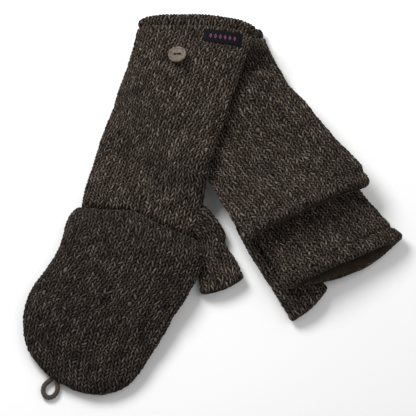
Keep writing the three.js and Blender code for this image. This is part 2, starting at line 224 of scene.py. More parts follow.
def climb(mitten, points):
    """How far the right mitten is lifted where it lies over the left one."""
    if mitten is LEFT:
        return 0 * points[..., 0]
    x, y = points[..., 0] - CLIMB_MARK[0], points[..., 1] - CLIMB_MARK[1]
    inward = x * CLIMB_HEADING[0] + y * CLIMB_HEADING[1]
    return GAP + PILE_TOP * smooth_step(*CLIMB_RUN, inward) * smooth_step(*CLIMB_START, points[..., 1])


def to_plan(mitten, points):
    """The plan's u and v of points, which is what to_frame takes."""
    (ox, oy), (hx, hy), sign = mitten["origin"], mitten["heading"], mitten["thumb_sign"]
    x, y = points[..., 0] - ox, points[..., 1] - oy
    return x * hx + y * hy, sign * (y * hx - x * hy)


def pinch(mitten, points):
    """The crease that the cap's mouth presses into the hand just before it, on the hand's upper face."""
    crease = mitten["crease"]
    if crease is None:
        return points
    (u0, v0), (u1, v1) = crease["plain"], crease["thumb"]
    amount, centre, spread = mitten["cap_bow"]
    u, v = to_plan(mitten, points)
    share = np.clip((v - v0) / (v1 - v0), 0, 1)
    edge = 2 * share - 1
    mouth = u0 + share * (u1 - u0) + amount * (1 - edge**4) * np.exp(-(((edge - centre) / spread) ** 2))
    depth = crease["depth"] * np.exp(-(((u - mouth + crease["before"]) / crease["width"]) ** 2))
    base = TUBE_LOW - 2
    sunk = points.copy()
    sunk[..., 2] -= depth * smooth_step(HAND_THICK / 2 + base, HAND_THICK + base, points[..., 2])
    return sunk


# ---- Smooth noise, the same on every run ----
CELLS = 32
LATTICE = rng.random((CELLS, CELLS, CELLS, 3)) * 2 - 1


def noise3(points, scale):
    """A smooth vector field in -1..1 with features about scale millimetres across."""
    p = points / scale
    i = np.floor(p).astype(int)
    f = p - i
    f = f * f * (3 - 2 * f)
    total = np.zeros(points.shape)
    for corner in range(8):
        d = np.array([corner & 1, corner >> 1 & 1, corner >> 2 & 1])
        w = np.prod(np.where(d, f, 1 - f), -1)
        a, b, c = ((i[..., k] + d[k]) % CELLS for k in range(3))
        total += LATTICE[a, b, c] * w[..., None]
    return total


# ---- Lofts ----
def travel_along(points):
    """The distance of each point from the first, along the line that they make."""
    return np.concatenate([[0], np.cumsum(np.linalg.norm(np.diff(points, axis=0), axis=1))])


def widths(rows):
    return np.hypot(rows[:, 3] - rows[:, 0], rows[:, 4] - rows[:, 1])


def make_loft(mitten, rows, lift=0.0):
    rows = np.array(rows, float)
    rows[:, 2] += lift
    rows[:, 5] += lift
    knots = travel_along((rows[:, 0:2] + rows[:, 3:5]) / 2)
    return {"mitten": mitten, "rows": rows, "knots": knots, "length": knots[-1]}


def rows_at(loft, s):
    """A cubic through the rows, at distances s along the middle line."""
    rows, knots = loft["rows"], loft["knots"]
    slopes = np.empty_like(rows)
    slopes[1:-1] = (rows[2:] - rows[:-2]) / (knots[2:] - knots[:-2])[:, None]
    slopes[0] = (rows[1] - rows[0]) / (knots[1] - knots[0])
    slopes[-1] = (rows[-1] - rows[-2]) / (knots[-1] - knots[-2])
    i = np.clip(np.searchsorted(knots, s, "right") - 1, 0, len(knots) - 2)
    span = (knots[i + 1] - knots[i])[:, None]
    t = ((s - knots[i]) / span[:, 0])[:, None]
    rise = rows[i + 1] - rows[i]
    m0, m1 = slopes[i] * span, slopes[i + 1] * span
    return rows[i] + m0 * t + (3 * rise - 2 * m0 - m1) * t**2 + (m0 + m1 - 2 * rise) * t**3


def power(x):
    return np.sign(x) * np.abs(x) ** (2 / SQUARENESS)


def place(loft, row, angle, inset):
    """Points of sections. Each line of row is a section and its distance s along the loft."""
    pu, pv, pz, tu, tv, tz, thick = (row[:, c : c + 1] for c in range(7))
    pz, tz = np.maximum(pz, 0), np.maximum(tz, 0)
    half = np.hypot(tu - pu, tv - pv) / 2
    edge, up = power(np.cos(angle)), power(np.sin(angle))
    mitten = loft["mitten"]

    def at(part, height):
        u = (pu + tu) / 2 + part * (tu - pu) / 2
        v = (pv + tv) / 2 + part * (tv - pv) / 2
        return u, v, (pz + tz) / 2 + part * (tz - pz) / 2 + thick / 2 + height

    u, v, z = at(edge * np.maximum(1 - inset / half, 0.02), up * np.maximum(thick / 2 - inset, 0.3))
    outer = to_frame(mitten, *at(edge, up * thick / 2))
    s = row[:, 7:]
    for where, reach, amount, centre, spread, lower_only in loft.get("bows", ()):
        share = (1 - edge**4) * np.exp(-np.abs(s - where) / reach - ((edge - centre) / spread) ** 2)
        u = u + amount * share * ((1 - up) / 2 if lower_only else 1)
    points = to_frame(mitten, u, v, z)
    points[..., 2] += climb(mitten, outer)
    return points


FINE = 241  # points round a section that its length is measured with


def sample(loft, s, inset, count):
    """A grid of count points around each section at s and inset, spread evenly by length, with how far
    each is from the middle of the top. Column count repeats column 0."""
    row = np.concatenate([rows_at(loft, s), s[:, None]], 1)
    angles = np.linspace(-np.pi / 2, 1.5 * np.pi, FINE)
    fine = place(loft, row, np.broadcast_to(angles, (len(s), FINE)), inset[:, None])
    arc = np.cumsum(np.linalg.norm(np.diff(fine, axis=1), axis=2), axis=1)
    arc = np.concatenate([np.zeros((len(s), 1)), arc], 1)
    fraction = np.linspace(0, 1, count + 1)
    picked = np.empty((len(s), count + 1))
    distance = np.empty((len(s), count + 1))
    top = FINE // 2
    for i in range(len(s)):
        distance[i] = fraction * arc[i, -1]
        picked[i] = np.interp(distance[i], arc[i], angles)
        distance[i] -= arc[i, top]
    return place(loft, row, picked[:, :-1], inset[:, None]), distance


# ---- Meshes ----
def link(name, data):
    obj = bpy.data.objects.new(name, data)
    bpy.context.scene.collection.objects.link(obj)
    return obj


def normals_of(grid, closed):
    around = np.roll(grid, -1, 1) - np.roll(grid, 1, 1)
    if closed:
        along = np.roll(grid, -1, 0) - np.roll(grid, 1, 0)
    else:
        along = np.gradient(grid, axis=0)
    n = np.cross(around, along)
    return n / np.maximum(np.linalg.norm(n, axis=2, keepdims=True), 1e-9)


def new_mesh(name, verts, faces, uv, cloth):
    """A smooth-shaded object from millimetre vertices and quads, turned outward."""
    faces = np.asarray(faces)
    a, b, c, d = (verts[faces[:, i]] for i in range(4))
    volume = np.einsum("ij,ij->i", a, np.cross(b, c)).sum() + np.einsum("ij,ij->i", a, np.cross(c, d)).sum()
    if volume < 0:
        faces = faces[:, ::-1]
        uv = uv[:, ::-1] if uv is not None else None
    mesh = bpy.data.meshes.new(name)
    mesh.vertices.add(len(verts))
    mesh.vertices.foreach_set("co", ((verts + SHIFT) * MM).astype(np.float32).ravel())
    mesh.loops.add(faces.size)
    mesh.loops.foreach_set("vertex_index", faces.astype(np.int32).ravel())
    mesh.polygons.add(len(faces))
    mesh.polygons.foreach_set("loop_start", np.arange(0, faces.size, 4, dtype=np.int32))
    mesh.polygons.foreach_set("use_smooth", np.ones(len(faces), bool))
    if uv is not None:
        layer = mesh.uv_layers.new(name="Stitch")
        layer.data.foreach_set("uv", uv.astype(np.float32).ravel())
    mesh.update(calc_edges=True)
    mesh.validate()
    mesh.materials.append(cloth)
    return link(name, mesh)


def grid_object(name, grid, u, v, closed, materials, inside):
    """The skin of a grid. u and v have one column more than the grid, for the last face around. Faces
    between rings that inside marks get the second material."""
    n, k = grid.shape[:2]
    pairs = n if closed else n - 1
    p = np.arange(pairs)[:, None]
    q = np.arange(k)[None, :]
    p2, q2 = (p + 1) % n, (q + 1) % k
    faces = np.stack([p * k + q, p * k + q2, p2 * k + q2, p2 * k + q], -1).reshape(-1, 4)
    p2b = np.minimum(p + 1, n - 1)
    coords = np.stack([u, v], -1)
    corners = [coords[p, q], coords[p, q + 1], coords[p2b, q + 1], coords[p2b, q]]
    uv = np.stack(corners, -2).reshape(-1, 4, 2)
    if not closed:
        rungs = np.arange(k // 2 - 1)
        for ring, turn in ((0, 1), (n - 1, -1)):
            cap = np.stack([rungs, rungs + 1, k - 2 - rungs, k - 1 - rungs], -1)
            cap_uv = np.stack([coords[ring, cap[:, i]] for i in range(4)], 1)
            if turn > 0:
                cap, cap_uv = cap[:, ::-1], cap_uv[:, ::-1]
            faces = np.concatenate([faces, cap + ring * k])
            uv = np.concatenate([uv, cap_uv])
    obj = new_mesh(name, grid.reshape(-1, 3), faces, uv, materials[0])
    if len(materials) > 1:
        obj.data.materials.append(materials[1])
        slots = np.zeros(len(faces), np.int32)
        slots[: pairs * k] = np.repeat((inside & np.roll(inside, -1))[:pairs], k)
        obj.data.polygons.foreach_set("material_index", slots)
    return obj


def stitch_height(across, along):
    """Stocking stitch: two slanted legs in each column, meeting in a V."""
    x = across - np.floor(across)
    legs = np.abs(np.sin(2 * np.pi * x)) ** 0.6
    phase = along - LEG_SHEAR * np.abs(x - 0.5)
    return legs * (0.15 + 0.85 * np.abs(np.sin(np.pi * phase)) ** 0.8)


BROAD_FOLDS = 34.0  # how wide the lying cloth's folds are
SMALL_FOLDS = 13.0
STITCH_DRIFT = 9.0  # how wide the patches are in which stitches lean alike
STITCH_JITTER = 3.6


def crumple(mitten, points):
    """The soft unevenness of the lying cloth, the same for every layer. It fades out at the floor."""
    free = smooth_step(1.0, 9.0, points[..., 2])[..., None]
    offset = 40.0 if mitten is LEFT else 0.0
    broad = noise3(points + offset, BROAD_FOLDS) * np.array([0.9, 0.9, 1.6])
    fine = noise3(points * 1.3 + 90 + offset, SMALL_FOLDS) * np.array([0.45, 0.45, 0.8])
    moved = points + (broad + fine) * free
    for (u, v, z), radius, (du, dv, dz) in mitten["dents"]:
        centre = to_frame(mitten, np.float64(u), np.float64(v), np.float64(z))
        push = to_frame(mitten, np.float64(u + du), np.float64(v + dv), np.float64(z + dz)) - centre
        weight = np.exp(-(((points - centre) / radius) ** 2).sum(-1))
        moved = moved + weight[..., None] * push
    return moved


def wall_profile(start, end, outer, inner, step, round_start, round_end):
    """The wall's cut, as a closed loop of (s, inset, how much it is knitted, distance along the loop)."""
    radius = (inner - outer) / 2
    middle = (inner + outer) / 2
    first = start + radius if round_start else start
    last = end - radius if round_end else end
    line = np.linspace(first, last, max(2, int((last - first) / step) + 1))
    parts = [np.stack([line, np.full_like(line, outer), np.ones_like(line)], 1)]
    turn = np.linspace(0, np.pi, max(5, int(np.pi * radius / step) + 1))[1:-1]
    if round_end:
        fade = (1 + np.cos(turn)) / 2
        parts.append(np.stack([last + radius * np.sin(turn), middle - radius * np.cos(turn), fade], 1))
    back = np.linspace(last, first, max(2, int((last - first) / 5) + 1))
    parts.append(np.stack([back, np.full_like(back, inner), np.zeros_like(back)], 1))
    if round_start:
        fade = (1 - np.cos(turn)) / 2
        parts.append(np.stack([first - radius * np.sin(turn), middle + radius * np.cos(turn), fade], 1))
    loop = np.concatenate(parts)
    return np.concatenate([loop, (travel_along(loop[:, :2]) + first)[:, None]], 1)


def pocket_profile(loft, start, outer, inner, step):
    """The cut of a pocket shut at its tip: an open run from the outer tip round the mouth to the inner."""
    length = loft["length"]
    ease = np.linspace(0, 1, int((length - start) / step) + 1)
    line = start + (length - outer * 0.6 - start) * (1 - (1 - ease) ** 1.35)
    line = line[widths(rows_at(loft, line)) / 2 > outer + 1.5][::-1]
    out = np.stack([line, np.full_like(line, outer), np.ones_like(line)], 1)
    deep = np.linspace(start, length - inner, 40)
    rows = rows_at(loft, deep)
    deep = deep[(widths(rows) / 2 > inner + 5) & (rows[:, 6] / 2 > inner + 0.8)]
    back = np.stack([deep, np.full_like(deep, inner), np.zeros_like(deep)], 1)
    loop = np.concatenate([out, back])
    return np.concatenate([loop, (length - travel_along(loop[:, :2]))[:, None]], 1)


def soft_piece(name, loft, profile, closed, cloth, rise, step, grooves=(), pinched=False):
    """A knitted or fleece wall. grooves are (s, width, depth) dents across it. cloth is one material, or
    two for its outside and its inside. pinched says that the cap's mouth presses it in."""
    s, inset, knitted, travel = profile.T
    widest = rows_at(loft, np.linspace(0, loft["length"], 9))
    girth = 2 * (widths(widest) + widest[:, 6]).max()
    count = int(girth / step) // 2 * 2
    dents = sum(depth * np.exp(-(((s - at) / width) ** 2)) for at, width, depth in grooves) * knitted
    grid, distance = sample(loft, s, inset + dents, count)
    if pinched:
        grid = pinch(loft["mitten"], grid)
    grid = crumple(loft["mitten"], grid)
    uneven = noise3(grid + 17, STITCH_DRIFT)[..., :2] + 1.1 * noise3(grid + 55, STITCH_JITTER)[..., :2]
    uneven = np.concatenate([uneven, uneven[:, :1]], 1)
    across = distance / COLUMN + 0.17 * uneven[..., 0]
    along = (travel / ROW)[:, None] + 0.42 * uneven[..., 1]
    normal = normals_of(grid, closed)
    if normal_points_in(grid, normal, knitted):
        normal = -normal
    height = rise * stitch_height(across[:, :-1], along[:, :-1])
    height = height * (1 + 0.35 * noise3(grid * 1.7 + 31, 5.0)[..., 0])
    floor = smooth_step(0.0, 1.2, grid[..., 2] + 0.2 - (GAP if loft["mitten"] is RIGHT else 0))
    grid = grid + normal * (height * knitted[:, None] * floor)[..., None]
    grid[..., 2] = np.maximum(grid[..., 2], -SHIFT[2])
    cloths = cloth if isinstance(cloth, tuple) else (cloth,)
    return grid_object(name, grid, across, along, closed, cloths, knitted < 0.25)


def normal_points_in(grid, normal, knitted):
    rows = knitted > 0.9
    centre = grid[rows].mean(1, keepdims=True)
    return ((grid[rows] - centre) * normal[rows]).sum() < 0


# ---- Materials ----
def material(name):
    made = bpy.data.materials.new(name)
    made.use_nodes = True
    tree = made.node_tree
    return made, tree, tree.nodes["Principled BSDF"]


def node(tree, kind, **values):
    made = tree.nodes.new(kind)
    for key, value in values.items():
        if key.startswith("in_"):
            made.inputs[int(key[3:])].default_value = value
        else:
            setattr(made, key, value)
    return made


def math_node(tree, operation, first, second=None):
    made = node(tree, "ShaderNodeMath", operation=operation)
    for socket, value in zip(made.inputs, (first, second)):
        if value is None:
            continue
        if isinstance(value, (int, float)):
            socket.default_value = value
        else:
            tree.links.new(value, socket)
    return made.outputs[0]


def weighted(tree, *terms):
    """The sum of sockets, each times its weight."""
    total = None
    for socket, weight in terms:
        part = math_node(tree, "MULTIPLY", socket, weight)
        total = part if total is None else math_node(tree, "ADD", total, part)
    return total


def off_half(tree, socket):
    """How far a value is from a half."""
    return math_node(tree, "ABSOLUTE", math_node(tree, "SUBTRACT", socket, 0.5))


def wave(tree, socket, rate):
    return math_node(tree, "SINE", math_node(tree, "MULTIPLY", socket, rate))


def ramp(tree, source, stops):
    made = tree.nodes.new("ShaderNodeValToRGB")
    elements = made.color_ramp.elements
    while len(elements) < len(stops):
        elements.new(0.5)
    for element, (position, colour) in zip(elements, stops):
        element.position = position
        element.color = (*colour, 1) if len(colour) == 3 else colour
    tree.links.new(source, made.inputs[0])
    return made.outputs[0]


def grey(value):
    return (value, value, value)


def noise_node(tree, vector, scale, detail, roughness=0.6):
    made = node(tree, "ShaderNodeTexNoise")
    made.inputs["Scale"].default_value = scale
    made.inputs["Detail"].default_value = detail
    made.inputs["Roughness"].default_value = roughness
    tree.links.new(vector, made.inputs["Vector"])
    return made.outputs["Fac"]


def mix_colour(tree, factor, a, b, blend="MIX"):
    made = node(tree, "ShaderNodeMix", data_type="RGBA", blend_type=blend)
    for socket, value in ((made.inputs[0], factor), (made.inputs[6], a), (made.inputs[7], b)):
        if isinstance(value, (int, float)):
            socket.default_value = value
        elif isinstance(value, tuple):
            socket.default_value = (*value, 1)
        else:
            tree.links.new(value, socket)
    return made.outputs[2]


def add_bump(tree, shader, height, strength, distance):
    bump = node(tree, "ShaderNodeBump")
    bump.inputs["Strength"].default_value = strength
    bump.inputs["Distance"].default_value = distance
    tree.links.new(height, bump.inputs["Height"])
    tree.links.new(bump.outputs[0], shader.inputs["Normal"])


WAVER = 330  # noise scales, in features per metre
PATCHES = 55
SPECKS = 1150
FIBRES = 3800


def stitch_nodes(tree, place_at):
    """Stocking stitch from the Stitch coordinates: the height of each stitch, a shade of its own for each
    leg of it, and coordinates that run along the leg."""
    uv = node(tree, "ShaderNodeUVMap", uv_map="Stitch").outputs[0]
    parts = node(tree, "ShaderNodeSeparateXYZ")
    tree.links.new(uv, parts.inputs[0])
    drift = math_node(tree, "SUBTRACT", noise_node(tree, place_at, WAVER, 1), 0.5)
    wobble = math_node(tree, "MULTIPLY", drift, 0.25)
    across = math_node(tree, "ADD", parts.outputs[0], wobble)
    along = math_node(tree, "ADD", parts.outputs[1], wobble)
    x = math_node(tree, "FRACT", across)
    legs = math_node(tree, "ABSOLUTE", wave(tree, x, 2 * math.pi))
    phase = math_node(tree, "SUBTRACT", along, math_node(tree, "MULTIPLY", off_half(tree, x), LEG_SHEAR))
    beat = math_node(tree, "ABSOLUTE", wave(tree, phase, math.pi))
    full_legs, full_beat = math_node(tree, "POWER", legs, 0.6), math_node(tree, "POWER", beat, 0.8)
    stitch = math_node(tree, "MULTIPLY", full_legs, full_beat)
    leg = node(tree, "ShaderNodeCombineXYZ")
    tree.links.new(math_node(tree, "FLOOR", math_node(tree, "MULTIPLY", across, 2)), leg.inputs[0])
    tree.links.new(math_node(tree, "FLOOR", phase), leg.inputs[1])
    own = node(tree, "ShaderNodeTexWhiteNoise", noise_dimensions="3D")
    tree.links.new(leg.outputs[0], own.inputs[0])
    lie = node(tree, "ShaderNodeCombineXYZ")
    tree.links.new(math_node(tree, "MULTIPLY", across, 1.6), lie.inputs[0])
    tree.links.new(math_node(tree, "MULTIPLY", phase, 7.0), lie.inputs[1])
    tree.links.new(math_node(tree, "MULTIPLY", own.outputs[0], 9.0), lie.inputs[2])
    return stitch, own.outputs[0], lie.outputs[0]


def wool_material(name, dark, mid, light):
    """Heathered wool whose fibres run along the legs of its stitches, with painted shade in the hollows
    between the stitches and painted light on their tops.
    """
    made, tree, shader = material(name)
    place_at = node(tree, "ShaderNodeTexCoord").outputs["Object"]
    stitch, leg_shade, along_leg = stitch_nodes(tree, place_at)
    streaks = noise_node(tree, along_leg, 1.0, 3, 0.6)
    patches = math_node(tree, "SUBTRACT", noise_node(tree, place_at, PATCHES, 3), 0.5)
    tone = weighted(tree, (leg_shade, 0.5), (streaks, 0.9), (patches, 0.3))
    colour = ramp(tree, tone, [(0.42, dark), (0.62, mid), (0.78, mid), (1.0, light)])
    fleck = noise_node(tree, along_leg, 2.3, 2, 0.5)
    fleck = ramp(tree, fleck, [(0.66, grey(0.0)), (0.74, grey(1.0))])
    fleck = math_node(tree, "MULTIPLY", fleck, 0.7)
    colour = mix_colour(tree, fleck, colour, tuple(c * 1.7 for c in light))
    speckle = noise_node(tree, place_at, SPECKS, 2, 0.6)
    shades = [(0.3, grey(0.35)), (0.5, grey(0.9)), (0.62, grey(1.25)), (0.76, grey(2.2))]
    speckle = ramp(tree, speckle, shades)
    colour = mix_colour(tree, 1.0, colour, speckle, "MULTIPLY")
    # Painted shade and light: the colour goes nearly black in the hollows between stitches and lighter on
    # the raised tops of the stitches.
    hollow_shade = ramp(tree, stitch, [(0.0, grey(0.0)), (0.35, grey(0.14)), (0.6, grey(0.8)), (0.95, grey(1.4))])
    colour = mix_colour(tree, 1.0, colour, hollow_shade, "MULTIPLY")
    tree.links.new(colour, shader.inputs["Base Color"])
    fibres = noise_node(tree, place_at, FIBRES, 3, 0.7)
    add_bump(tree, shader, weighted(tree, (stitch, 0.6), (fibres, 0.4), (streaks, 0.3)), 0.8, 0.0007)
    shader.inputs["Roughness"].default_value = 0.95
    shader.inputs["Specular IOR Level"].default_value = 0.06
    shader.inputs["Sheen Weight"].default_value = 0.03
    shader.inputs["Sheen Roughness"].default_value = 0.6
    return made


def fleece_material():
    made, tree, shader = material("brushed_fleece")
    place_at = node(tree, "ShaderNodeTexCoord").outputs["Object"]
    tufts = noise_node(tree, place_at, 900, 4, 0.7)
    shade = noise_node(tree, place_at, 130, 2)
    tone = weighted(tree, (tufts, 0.6), (shade, 0.4))
    # The fleece's own brown, made darker still as painted shade for the lining seen inside the mouths,
    # under their lips.
    fleece_and_shade_browns = [(0.3, (0.014, 0.01, 0.007)), (0.5, (0.03, 0.021, 0.015)), (0.72, (0.055, 0.04, 0.029))]
    tree.links.new(ramp(tree, tone, fleece_and_shade_browns), shader.inputs["Base Color"])
    add_bump(tree, shader, tufts, 0.8, 0.0006)
    shader.inputs["Roughness"].default_value = 1.0
    shader.inputs["Specular IOR Level"].default_value = 0.05
    return made


def plain_material(name, low, high, scale, roughness, bump_distance):
    """A two-tone grain at one scale, for yarn, thread and coconut shell."""
    made, tree, shader = material(name)
    place_at = node(tree, "ShaderNodeTexCoord").outputs["Object"]
    grain = noise_node(tree, place_at, scale, 5, 0.65)
    tree.links.new(ramp(tree, grain, [(0.34, low), (0.66, high)]), shader.inputs["Base Color"])
    add_bump(tree, shader, grain, 0.6, bump_distance)
    shader.inputs["Roughness"].default_value = roughness
    shader.inputs["Specular IOR Level"].default_value = 0.25
    return made


WOOL = wool_material("heather_wool", (0.022, 0.016, 0.012), (0.062, 0.047, 0.036), (0.14, 0.115, 0.092))
HEM_WOOL = wool_material("hem_wool", (0.02, 0.0145, 0.011), (0.055, 0.042, 0.032), (0.125, 0.102, 0.082))
# Painted shade: the same heather made darker, standing in for the shade on the right cap's top, which
# slopes away from the light.
SHADED_CAP_WOOL = wool_material("shaded_cap_wool", (0.014, 0.0105, 0.008), (0.044, 0.034, 0.026), (0.105, 0.086, 0.07))
FLEECE_CLOTH = fleece_material()
YARN = plain_material("twisted_yarn", (0.03, 0.023, 0.018), (0.1, 0.082, 0.066), 1500, 0.9, 0.0003)
COCONUT = plain_material("coconut_shell", (0.075, 0.057, 0.044), (0.16, 0.128, 0.1), 420, 0.62, 0.00006)
THREAD = plain_material("dark_thread", (0.006, 0.005, 0.0045), (0.02, 0.016, 0.014), 2500, 0.8, 0.0001)


# ---- The soft pieces of one mitten ----
LINING_INSET = KNIT + 0.1  # where the fleece starts under the knit
FLEECE_STEP = 2.0  # mesh step round the fleece
FLEECE_RUN = 2.5  # and along it
THUMB_FLEECE_STEP = 1.6
THUMB_FLEECE_RUN = 2.0
KNIT_LOOK = {"rise": STITCH_RISE, "step": GRID}
FLEECE_LOOK = {"cloth": FLEECE_CLOTH, "rise": 0.0, "step": FLEECE_STEP}


def dress_hand(mitten):
    side = mitten["side"]
    loft = make_loft(mitten, mitten["hand"])
    body = f"{side}_hand"
    end = loft["length"]
    loft["bows"] = ((0, 22, mitten["cuff_bow"], 0, EVEN, False), (end, 9, mitten["lip"], -0.15, 1.0, True))
    knuckles = np.interp(mitten["hinge"], (loft["rows"][:, 0] + loft["rows"][:, 3]) / 2, loft["knots"])
    stitch_lines = ((CUFF_HEM, 1.3, 1.7), (end - FINGER_HEM, 1.3, 1.6), (end - 4, 3.5, -0.7))
    for name, start, stop in (("hand", CUFF_HEM, knuckles), ("fingers", knuckles, end - FINGER_HEM)):
        profile = wall_profile(start, stop, 0, KNIT, GRID, False, False)
        title = f"{side}_{name}_knit"
        knit = soft_piece(title, loft, profile, True, WOOL, grooves=stitch_lines, pinched=True, **KNIT_LOOK)
        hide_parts(f"{side}_hand_shell")
        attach(knit, body)
        if name == "fingers":
            flatten_with_cap(mitten, knit)
    for name, start, stop, rounds in (
        ("cuff_hem", 0, CUFF_HEM, (True, False)),
        ("finger_hem", end - FINGER_HEM, end, (False, True)),
    ):
        profile = wall_profile(start, stop, -HEM_PROUD, WALL, GRID, *rounds)
        cloths = (HEM_WOOL, FLEECE_CLOTH)
        title = f"{side}_{name}_roll"
        hem = soft_piece(title, loft, profile, True, cloths, grooves=stitch_lines, **KNIT_LOOK)
        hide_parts(f"{side}_{name}")
        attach(hem, body)
        if name == "finger_hem":
            flatten_with_cap(mitten, hem)
    fleece_end = end - FINGER_HEM + 1
    for name, start, stop in (("hand", CUFF_HEM - 1, knuckles), ("fingers", knuckles, fleece_end)):
        profile = wall_profile(start, stop, LINING_INSET, WALL, FLEECE_RUN, False, False)
        lining = soft_piece(f"{side}_{name}_fleece", loft, profile, True, pinched=True, **FLEECE_LOOK)
        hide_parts(f"{side}_hand_lining")
        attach(lining, body)
        if name == "fingers":
            flatten_with_cap(mitten, lining)


def turned_cap_plane():
    """A point and the normal of the left cap's flat middle when it is turned over the fingers."""
    joint = next(j for j in frame["joints"] if j["name"] == "left_cap_flip")
    pivot = Vector(joint["pos_m"])
    turn = Matrix.Rotation(math.radians(joint["range_deg"][1]), 3, Vector(joint["axis"]))
    rows = make_loft(LEFT, LEFT["cap"], HAND_THICK + CAP_REST)["rows"]
    corners = []
    for row in (rows[0], rows[4]):
        for u, v, z in (row[0:3], row[3:6]):
            at = Vector((to_frame(LEFT, u, v, z + row[6] / 2) + SHIFT) * MM)
            corners.append(pivot + turn @ (at - pivot))
    middle = sum(corners, Vector()) / 4
    return middle, (corners[3] - corners[0]).cross(corners[2] - corners[1]).normalized()


def flatten_with_cap(mitten, piece):
    """For the left mitten: finds where the turned-back cap's flat middle lies over the fingers, and gives
    the piece a mesh of its own.
    """
    if mitten is LEFT:
        middle, normal = turned_cap_plane()
        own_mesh(piece)


def dress_thumb(mitten):
    side = mitten["side"]
    loft = make_loft(mitten, mitten["thumb"])
    end = loft["length"]
    loft["bows"] = ((end, 7, 2.0, 0, 0.9, False),)
    hem_at = end - THUMB_HEM
    line = ((hem_at, 0.9, 0.5),)
    knit = wall_profile(0, hem_at, 0, THUMB_KNIT, GRID, False, False)
    hem = wall_profile(hem_at, end, -THUMB_HEM_PROUD, THUMB_WALL, GRID, False, True)
    fleece = wall_profile(0, end - 0.8, THUMB_KNIT + 0.1, THUMB_WALL, THUMB_FLEECE_RUN, False, False)
    pieces = (
        ("thumb_knit", knit, WOOL, STITCH_RISE, GRID, "thumb_sleeve"),
        ("thumb_hem_roll", hem, (HEM_WOOL, FLEECE_CLOTH), STITCH_RISE, GRID, "thumb_hem"),
        ("thumb_fleece", fleece, FLEECE_CLOTH, 0, THUMB_FLEECE_STEP, "thumb_lining"),
    )
    for name, profile, cloth, rise, step, cad in pieces:
        piece = soft_piece(f"{side}_{name}", loft, profile, True, cloth, rise, step, line)
        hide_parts(f"{side}_{cad}")
        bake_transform(piece)


def dress_cap(mitten):
    side = mitten["side"]
    loft = make_loft(mitten, mitten["cap"], HAND_THICK + CAP_REST if mitten is LEFT else 0.0)
    loft["bows"] = ((0, 14, *mitten["cap_bow"], False),)
    body = f"{side}_cap"
    folds = mitten["cap_folds"]
    wool = mitten["cap_wool"]
    outside = pocket_profile(loft, CAP_HEM, 0, KNIT, GRID)
    inside = pocket_profile(loft, CAP_HEM - 1, LINING_INSET, WALL, FLEECE_RUN)
    mouth = wall_profile(0, CAP_HEM, 0, WALL, GRID, True, False)
    knit = soft_piece(f"{side}_cap_knit", loft, outside, False, wool, grooves=folds, **KNIT_LOOK)
    fleece = soft_piece(f"{side}_cap_fleece", loft, inside, False, **FLEECE_LOOK)
    cloths = (wool, FLEECE_CLOTH)
    hem = soft_piece(f"{side}_cap_hem_roll", loft, mouth, True, cloths, grooves=folds, **KNIT_LOOK)
    for piece, cad in ((knit, "cap_shell"), (fleece, "cap_lining"), (hem, "cap_hem")):
        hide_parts(f"{side}_{cad}")
        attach(piece, body)


# ---- Cords and seams ----
STRAND = 0.95  # radius of each of the cord's strands
STRAND_OFFSET = 0.85  # and how far each is from the cord's middle
CORD_LAY = 5.5  # the cord's length for one twist
CORD_POINTS = 110
WHIP_HALF = 1.9  # half a whip stitch's length
WHIP_YARN = 0.34


def tube_faces(rings, sides):
    p = np.arange(rings - 1)[:, None]
    q = np.arange(sides)[None, :]
    q2 = (q + 1) % sides
    near, far = p * sides, (p + 1) * sides
    faces = np.stack([near + q, near + q2, far + q2, far + q], -1).reshape(-1, 4)
    rungs = np.arange(sides // 2 - 1)
    low = np.stack([rungs + 1, rungs, sides - 1 - rungs, sides - 2 - rungs], -1)
    high = low[:, ::-1] + (rings - 1) * sides
    return np.concatenate([faces, low, high])


def tube_points(path, radius, sides=8):
    """Rings about a path (n, 3) with radius a number or (n,)."""
    tangent = np.gradient(path, axis=0)
    tangent /= np.linalg.norm(tangent, axis=1, keepdims=True)
    side = np.cross(tangent, (0.0, 0.13, 1.0))
    side /= np.linalg.norm(side, axis=1, keepdims=True)
    other = np.cross(tangent, side)
    angle = 2 * np.pi * (np.arange(sides) + 0.5) / sides
    radius = np.broadcast_to(radius, len(path))[:, None, None]
    ring = np.cos(angle)[None, :, None] * side[:, None] + np.sin(angle)[None, :, None] * other[:, None]
    return path[:, None] + radius * ring


def smooth_path(points, count):
    """A Catmull-Rom curve through given points."""
    points = np.array(points, float)
    padded = np.concatenate([[2 * points[0] - points[1]], points, [2 * points[-1] - points[-2]]])
    t = np.linspace(0, len(points) - 1 - 1e-9, count)
    i = t.astype(int)
    f = (t - i)[:, None]
    a, b, c, d = (padded[i + k] for k in range(4))
    return 0.5 * (2 * b + (c - a) * f + (2 * a - 5 * b + 4 * c - d) * f**2 + (3 * b - a - 3 * c + d) * f**3)


def join_tubes(name, tubes, cloth):
    verts, faces, start = [], [], 0
    for tube in tubes:
        verts.append(tube.reshape(-1, 3))
        faces.append(tube_faces(*tube.shape[:2]) + start)
        start += tube.shape[0] * tube.shape[1]
    return new_mesh(name, np.concatenate(verts), np.concatenate(faces), None, cloth)


